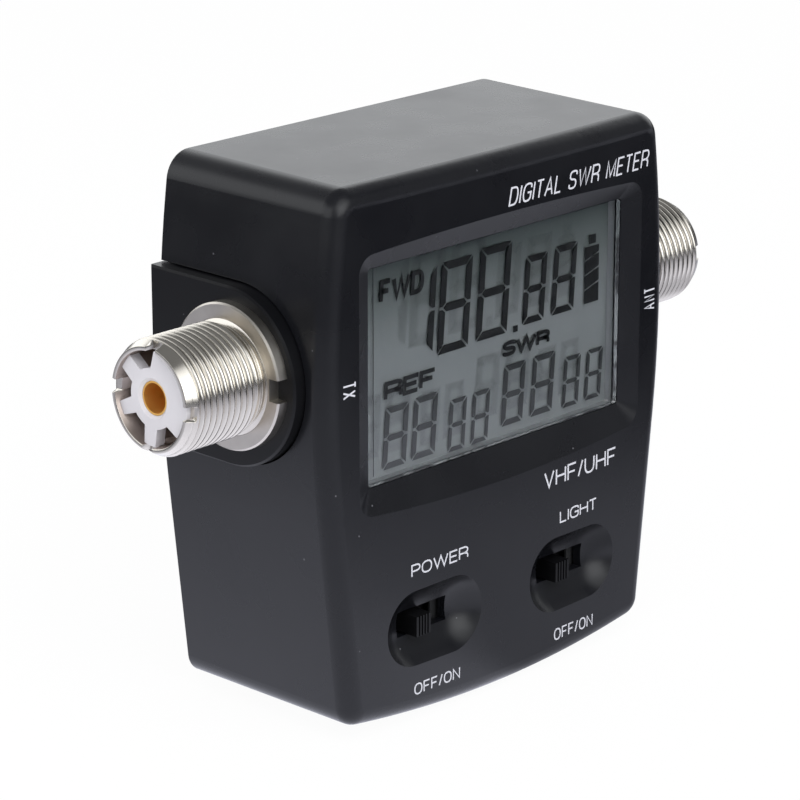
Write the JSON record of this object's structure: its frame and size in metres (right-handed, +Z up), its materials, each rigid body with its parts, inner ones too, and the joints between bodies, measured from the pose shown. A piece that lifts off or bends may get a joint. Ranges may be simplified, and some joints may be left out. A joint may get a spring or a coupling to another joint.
{
  "type": "swr meter",
  "caption": "Pocket SWR and power meter: bowed black case with a sunk display window, dished slide switches and a threaded coaxial socket on each side.",
  "frame": {"origin": "under the middle of the case, at the lowest point of its bowed base", "axes": "+X from the transmitter socket to the aerial socket, +Y from the display face to the rear cover, +Z up"},
  "size_m": [0.1032, 0.032, 0.0775],
  "materials": {
    "case_plastic": "fine-grained satin moulding",
    "chassis_black": "satin black paint",
    "window": "clear moulded window",
    "frame_grey": "pale grey moulding",
    "display": "grey-green reflective display",
    "guide": "milky",
    "led": "clear",
    "elastomer": "striped elastomer",
    "board": "solder mask",
    "chip": "matt epoxy",
    "bright_steel": "plated",
    "knob_plastic": "satin",
    "sheet_metal": "tinned",
    "brass_rod": "drawn",
    "white_plastic": "waxy",
    "star_plastic": "pale moulding",
    "ferrite": "coated",
    "copper_wire": "enamelled",
    "header_black": "moulded",
    "nickel": "nickel plate",
    "gilt": "gilt",
    "cell_jacket": "plain printed jacket"
  },
  "bodies": {
    "root": {"front_case": "case_plastic", "rear_cover": "case_plastic", "coupler_chassis": "chassis_black", "display_lens": "window", "display_frame": "frame_grey", "lcd_panel": "display", "light_guide": "guide", "backlight_leds": "led", "upper_contact_strip": "elastomer", "lower_contact_strip": "elastomer", "main_board": "board", "detector_board": "board", "processor_chip": "chip", "amplifier_chips": "chip", "detector_parts": "chip", "crystal": "bright_steel", "board_screws": "bright_steel", "detector_screws": "bright_steel", "case_screws": "bright_steel", "power_switch_body": "bright_steel", "light_switch_body": "bright_steel", "coupler_lid": "sheet_metal", "cell_link": "sheet_metal", "minus_spring": "sheet_metal", "plus_plate": "sheet_metal", "coupler_line": "brass_rod", "line_sleeve": "white_plastic", "tx_insulator": "star_plastic", "ant_insulator": "star_plastic", "transformer_core": "ferrite", "transformer_winding": "copper_wire", "signal_header": "header_black", "tx_socket_shell": "nickel", "ant_socket_shell": "nickel", "tx_ring_nut": "nickel", "ant_ring_nut": "nickel", "tx_contact": "gilt", "ant_contact": "gilt", "lower_cell": "cell_jacket", "upper_cell": "cell_jacket"},
    "power_knob": {"power_switch_knob": "knob_plastic"},
    "light_knob": {"light_switch_knob": "knob_plastic"},
    "door": {"battery_door": "case_plastic"}
  },
  "joints": [
    {"name": "power_slide", "type": "slide", "parent": "root", "child": "power_knob", "axis": [1, 0, 0], "range_m": [0, 0.004]},
    {"name": "light_slide", "type": "slide", "parent": "root", "child": "light_knob", "axis": [1, 0, 0], "range_m": [0, 0.004]},
    {"name": "door_swing", "type": "hinge", "parent": "root", "child": "door", "pos_m": [0, 0.016, 0.0122], "axis": [-1, 0, 0], "range_deg": [0, 70]}
  ]
}
